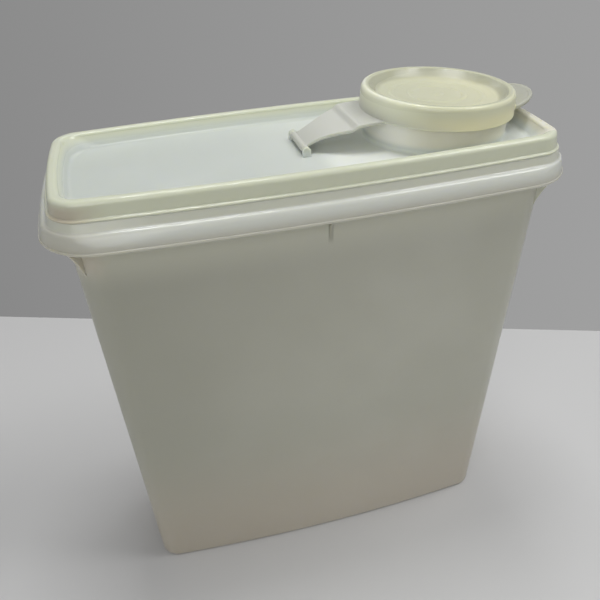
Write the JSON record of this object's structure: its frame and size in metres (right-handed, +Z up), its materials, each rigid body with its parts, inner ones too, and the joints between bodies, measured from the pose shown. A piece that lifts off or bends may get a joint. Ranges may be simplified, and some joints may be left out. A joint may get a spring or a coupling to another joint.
{
  "type": "dry food container",
  "caption": "Tall tapered tub with bowed walls and a grip flange, a press-on seal with a round pouring collar, and a hinged flip cap.",
  "frame": {"origin": "centre of the base, on the surface that the tub stands on", "axes": "+X along the long side towards the pouring end, +Y across the narrow depth, +Z up"},
  "size_m": [0.241, 0.1062, 0.2522],
  "materials": {
    "tub": "natural frosted, translucent",
    "seal": "soft sheen, translucent, pale cream",
    "cap": "soft sheen, translucent, pale yellow"
  },
  "bodies": {
    "tub": {"container": "tub"},
    "seal": {"seal": "seal"},
    "cap": {"flip_cap": "cap"}
  },
  "joints": [
    {"name": "seal_lift", "type": "slide", "parent": "tub", "child": "seal", "axis": [0, 0, 1], "range_m": [0, 0.06]},
    {"name": "cap_flip", "type": "hinge", "parent": "seal", "child": "cap", "pos_m": [-0.001, 0, 0.2315], "axis": [0, -1, 0], "range_deg": [0, 150]}
  ]
}
